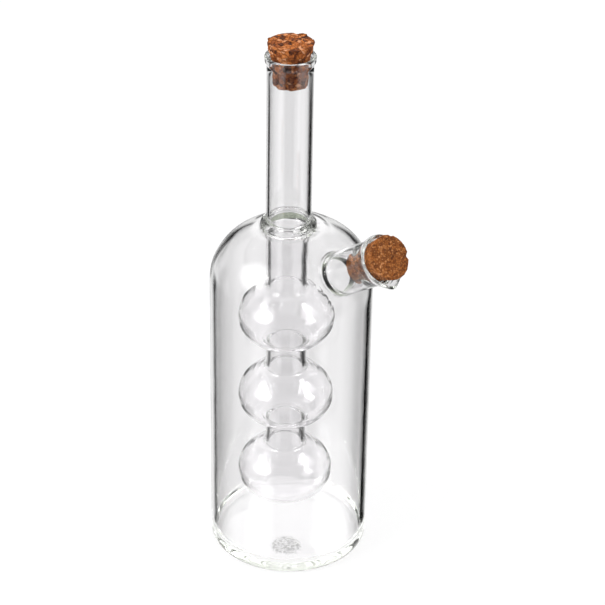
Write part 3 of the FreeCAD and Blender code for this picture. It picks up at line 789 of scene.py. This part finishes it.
def addFloor(setup):
    deselectAll()
    bpy.ops.mesh.primitive_plane_add(size=setup["size"], location=setup["place"])
    floor = bpy.context.object
    floor.name = "floor"
    material, nodes, links = newMaterial("paperWhite")
    out = nodes.new("ShaderNodeOutputMaterial")
    path = nodes.new("ShaderNodeLightPath")
    mix = nodes.new("ShaderNodeMixShader")
    keep = nodes.new("ShaderNodeMixShader")
    keep.inputs[0].default_value = setup["shadow"]
    paper = nodes.new("ShaderNodeBsdfDiffuse")
    paper.inputs["Color"].default_value = setup["paper"]
    glow = nodes.new("ShaderNodeEmission")
    links.new(path.outputs["Is Camera Ray"], mix.inputs[0])
    links.new(paper.outputs[0], mix.inputs[1])
    links.new(glow.outputs[0], keep.inputs[1])
    links.new(paper.outputs[0], keep.inputs[2])
    links.new(keep.outputs[0], mix.inputs[2])
    links.new(mix.outputs[0], out.inputs[0])
    floor.data.materials.append(material)
    floor.visible_transmission = False                     # glass shows the room's white instead
    floor.visible_glossy = False


cardSetup = {"radius": 0.045, "corners": 64, "place": (0, -0.005, -0.0001)}


def addCard(setup):
    # White paper under the base and before it, which only glass and gloss see
    deselectAll()
    bpy.ops.mesh.primitive_circle_add(vertices=setup["corners"], radius=setup["radius"],
                                      fill_type="NGON", location=setup["place"])
    card = bpy.context.object
    card.name = "card"
    material, nodes, links = newMaterial("cardWhite")
    out = nodes.new("ShaderNodeOutputMaterial")
    glow = nodes.new("ShaderNodeEmission")
    links.new(glow.outputs[0], out.inputs[0])
    card.data.materials.append(material)
    card.visible_camera = False
    card.visible_diffuse = False
    card.visible_shadow = False


# The room as glass and gloss see it. Headings are degrees from straight behind, to the right;
# heights are degrees above the horizon. Posts stand all round, and each soft box has a direction,
# the half angles where it is whole and where it ends, and a strength.
roomSetup = {
    "ambient": 0.5,
    "heights": ((-90, 1.0), (48, 1.0), (72, 0.5), (90, 0.5)),
    "low": ((-58, 0.0), (-48, 1.0), (-22, 1.0), (-14, 0.0)),
    "level": ((-26, 0.0), (-18, 1.0), (5, 1.0), (11, 0.0)),
    "posts": ((0, 1.0), (13, 1.0), (17, 0.02), (22.5, 0.02)),
    "panels": ((-180, 0.06), (-160, 0.06), (-148, 1.9), (-128, 1.9), (-116, 0.6), (-92, 0.8),
               (-78, 0.3), (-66, 0.0), (-36, 0.0), (-28, 1.06), (16, 1.06), (25, 0.0), (70, 0.0),
               (88, 1.4), (102, 1.9), (132, 1.9), (144, 0.1), (180, 0.06)),
    "boxes": (((-0.74, -0.28, 0.61), 5, 28, 5.0), ((0.80, -0.40, 0.45), 4, 20, 4.0),
              ((0.0, 0.85, 0.53), 14, 32, 1.3)),
}


def addRamp(nodes, links, value, stops, limits):
    # A ramp over a value, with its stops and limits in the value's own unit
    low, high = limits
    share = addNode(nodes, "ShaderNodeMapRange", {"From Min": low, "From Max": high})
    links.new(value, share.inputs["Value"])
    ramp = nodes.new("ShaderNodeValToRGB")
    grey = [((place - low) / (high - low), (level, level, level, 1)) for place, level in stops]
    setStops(ramp, grey)
    links.new(share.outputs[0], ramp.inputs[0])
    return ramp.outputs[0]


def addSoftBox(nodes, links, direction, box):
    way, inner, outer, strength = box
    dot = nodes.new("ShaderNodeVectorMath")
    dot.operation = "DOT_PRODUCT"
    dot.inputs[1].default_value = Vector(way).normalized()
    links.new(direction, dot.inputs[0])
    limits = {"From Min": cos(radians(outer)), "From Max": cos(radians(inner)), "To Max": strength}
    edge = addNode(nodes, "ShaderNodeMapRange", limits)
    edge.interpolation_type = "SMOOTHSTEP"
    links.new(dot.outputs["Value"], edge.inputs["Value"])
    return edge.outputs[0]


def roomLevel(nodes, links, setup):
    # How bright the room is in each direction
    where = nodes.new("ShaderNodeTexCoord")
    split = nodes.new("ShaderNodeSeparateXYZ")
    links.new(where.outputs["Generated"], split.inputs[0])
    turn = addMath(nodes, links, "ARCTAN2", split.outputs[0], split.outputs[1])
    heading = addMath(nodes, links, "DEGREES", turn, None)
    rise = addMath(nodes, links, "ARCSINE", split.outputs[2], None)
    height = addMath(nodes, links, "DEGREES", rise, None)
    upAndDown, allRound = (-90, 90), (-180, 180)
    low = nodes.new("ShaderNodeMix")
    links.new(addRamp(nodes, links, height, setup["low"], upAndDown), low.inputs["Factor"])
    links.new(addRamp(nodes, links, height, setup["heights"], upAndDown), low.inputs["A"])
    links.new(addRamp(nodes, links, heading, setup["panels"], allRound), low.inputs["B"])
    halfGap = setup["posts"][-1][0]
    folded = addMath(nodes, links, "PINGPONG", heading, halfGap)
    mid = nodes.new("ShaderNodeMix")
    links.new(addRamp(nodes, links, height, setup["level"], upAndDown), mid.inputs["Factor"])
    links.new(low.outputs[0], mid.inputs["A"])
    links.new(addRamp(nodes, links, folded, setup["posts"], (0, halfGap)), mid.inputs["B"])
    level = mid.outputs[0]
    for box in setup["boxes"]:
        level = addMath(nodes, links, "ADD", level,
                        addSoftBox(nodes, links, where.outputs["Generated"], box))
    return level


def mixShaders(nodes, links, share, first, second):
    mix = nodes.new("ShaderNodeMixShader")
    links.new(share, mix.inputs[0])
    links.new(first.outputs[0], mix.inputs[1])
    links.new(second.outputs[0], mix.inputs[2])
    return mix


def addWorld(setup):
    world = bpy.data.worlds.new("room")
    world.use_nodes = True
    nodes = world.node_tree.nodes
    links = world.node_tree.links
    nodes.clear()
    out = nodes.new("ShaderNodeOutputWorld")
    path = nodes.new("ShaderNodeLightPath")
    room = nodes.new("ShaderNodeBackground")
    links.new(roomLevel(nodes, links, setup), room.inputs["Strength"])
    air = addNode(nodes, "ShaderNodeBackground", {"Strength": setup["ambient"]})
    white = addNode(nodes, "ShaderNodeBackground", {"Color": (1, 1, 1, 1)})
    plain = mixShaders(nodes, links, path.outputs["Is Diffuse Ray"], room, air)
    seen = mixShaders(nodes, links, path.outputs["Is Camera Ray"], plain, white)
    links.new(seen.outputs[0], out.inputs[0])
    scene.world = world


lampSetup = {
    "aim": (0, 0, 0.12),
    "leftBox": {"place": (-0.9, -0.5, 0.9), "size": (0.5, 0.5), "power": 16, "inGlass": True},
    "rightBox": {"place": (0.9, -0.3, 0.7), "size": (0.25, 0.5), "power": 6, "inGlass": True},
    "topBox": {"place": (0.0, 0.3, 1.4), "size": (0.8, 0.8), "power": 10, "inGlass": False},
}


def addLamp(name, setup):
    data = bpy.data.lights.new(name, "AREA")
    data.shape = "RECTANGLE"
    data.size, data.size_y = setup["size"]
    data.energy = setup["power"]
    lamp = bpy.data.objects.new(name, data)
    scene.collection.objects.link(lamp)
    lamp.location = setup["place"]
    way = Vector(setup["place"]) - Vector(lampSetup["aim"])
    lamp.rotation_euler = way.to_track_quat("Z", "Y").to_euler()
    lamp.visible_glossy = False                            # gloss shows the room's soft boxes instead
    lamp.visible_transmission = setup["inGlass"]


scene.view_settings.view_transform = "Standard"
scene.cycles.max_bounces = 40                              # thick rims trap light, and would turn black
scene.cycles.transmission_bounces = 40
scene.cycles.glossy_bounces = 40
addCamera(cameraSetup)
addFloor(floorSetup)
addCard(cardSetup)
addWorld(roomSetup)
for name in ("leftBox", "rightBox", "topBox"):
    addLamp(name, lampSetup[name])
print("stage set")

vessel = makeVessel()
finishVessel(vessel)
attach(vessel, "root")
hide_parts("glass_vessel")

granules = makeGranules()
upright = Matrix.Translation((neck["shift"] * mm, 0, 0))
topCork = makeCork("neckCork", neckCork, upright)
finishCork(topCork, granules, "coarseCork", corkLook["coarse"])
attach(topCork, "root")
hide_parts("neck_cork")

sideCork = makeCork("spoutCork", spoutCork, spoutPlace())
finishCork(sideCork, granules, "fineCork", corkLook["fine"])
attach(sideCork, "root")
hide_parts("spout_cork")
